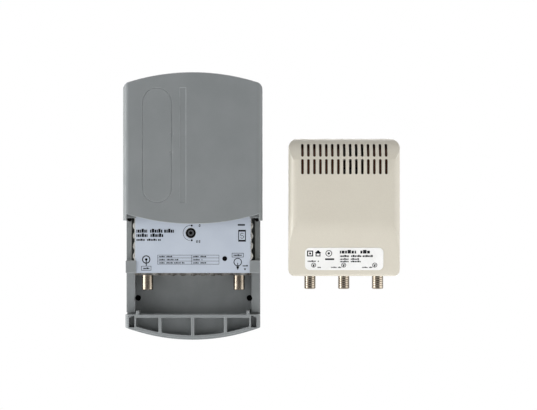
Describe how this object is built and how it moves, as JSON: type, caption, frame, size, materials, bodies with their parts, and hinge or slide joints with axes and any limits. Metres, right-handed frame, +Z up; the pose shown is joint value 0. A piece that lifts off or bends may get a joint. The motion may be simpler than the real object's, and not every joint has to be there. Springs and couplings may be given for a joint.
{
  "type": "mast antenna amplifier with power supply",
  "caption": "Grey mast box for an aerial signal amplifier, its cover slid up over threaded sockets and cable space, with a vented cream plug-in power supply.",
  "frame": {"origin": "midway between the two wall screws of the amplifier's base, in the wall plane", "axes": "+Z up as mounted, +Y into the wall, +X to the right seen from the front, the power supply standing at +X"},
  "size_m": [0.226, 0.0651, 0.218],
  "materials": {
    "cover_plastic": "fine-grained grey moulded ABS",
    "tray_plastic": "grey moulded ABS",
    "cream_plastic": "cream moulded ABS, satin",
    "zinc_casting": "die-cast zinc, dull",
    "tin_plate": "bright tin plate",
    "silver_label": "printed silver-blue film, satin",
    "white_label": "printed white film",
    "nickel": "nickel-plated brass",
    "white_insulator": "white moulded insulator",
    "contact_metal": "plated spring brass",
    "circuit_laminate": "green coated laminate",
    "black_plastic": "black moulded plastic",
    "grey_rotor": "grey moulded plastic",
    "screw_steel": "zinc-plated steel",
    "core_iron": "varnished laminations",
    "copper_wire": "enamelled copper",
    "ceramic": "dipped ceramic",
    "can_sleeve": "shrunk plastic sleeve",
    "ferrite": "sintered ferrite",
    "sink_metal": "extruded aluminium"
  },
  "bodies": {
    "base": {"base_tray": "tray_plastic", "cable_end_block": "tray_plastic", "mast_saddle": "tray_plastic", "saddle_screws": "screw_steel", "module_case": "zinc_casting", "module_lid": "tin_plate", "module_label": "silver_label", "amplifier_board": "circuit_laminate", "board_screws": "screw_steel", "gain_trimmer_body": "black_plastic", "amplifier_chip": "black_plastic", "filter_coils": "copper_wire", "ceramic_capacitors": "ceramic", "power_feed_choke": "ferrite", "smoothing_capacitor": "can_sleeve", "input_connector_shell": "nickel", "input_connector_insulator": "white_insulator", "input_connector_contact": "contact_metal", "output_connector_shell": "nickel", "output_connector_insulator": "white_insulator", "output_connector_contact": "contact_metal", "supply_front_shell": "cream_plastic", "supply_rear_shell": "cream_plastic", "supply_label": "white_label", "supply_board": "circuit_laminate", "supply_board_screws": "screw_steel", "case_screws": "screw_steel", "transformer_core": "core_iron", "transformer_bobbin": "cream_plastic", "transformer_winding": "copper_wire", "reservoir_capacitor": "can_sleeve", "rectifier_diodes": "black_plastic", "voltage_regulator": "black_plastic", "regulator_heat_sink": "sink_metal", "splitter_can": "tin_plate", "splitter_can_lid": "tin_plate", "splitter_ferrite": "ferrite", "left_connector_shell": "nickel", "middle_connector_shell": "nickel", "right_connector_shell": "nickel", "supply_connector_insulators": "white_insulator", "supply_connector_contacts": "contact_metal", "plug_pins": "nickel", "pin_sleeves": "black_plastic", "plug_contact_strips": "contact_metal"},
    "cover": {"sliding_cover": "cover_plastic"},
    "trimmer": {"gain_trimmer_rotor": "grey_rotor"}
  },
  "joints": [
    {"name": "cover_slide", "type": "slide", "parent": "base", "child": "cover", "axis": [0, 0, 1], "range_m": [-0.092, 0.028]},
    {"name": "gain_turn", "type": "hinge", "parent": "base", "child": "trimmer", "pos_m": [-0.0018, -0.0346, 0.054], "axis": [0, 1, 0], "range_deg": [-135, 135]}
  ]
}
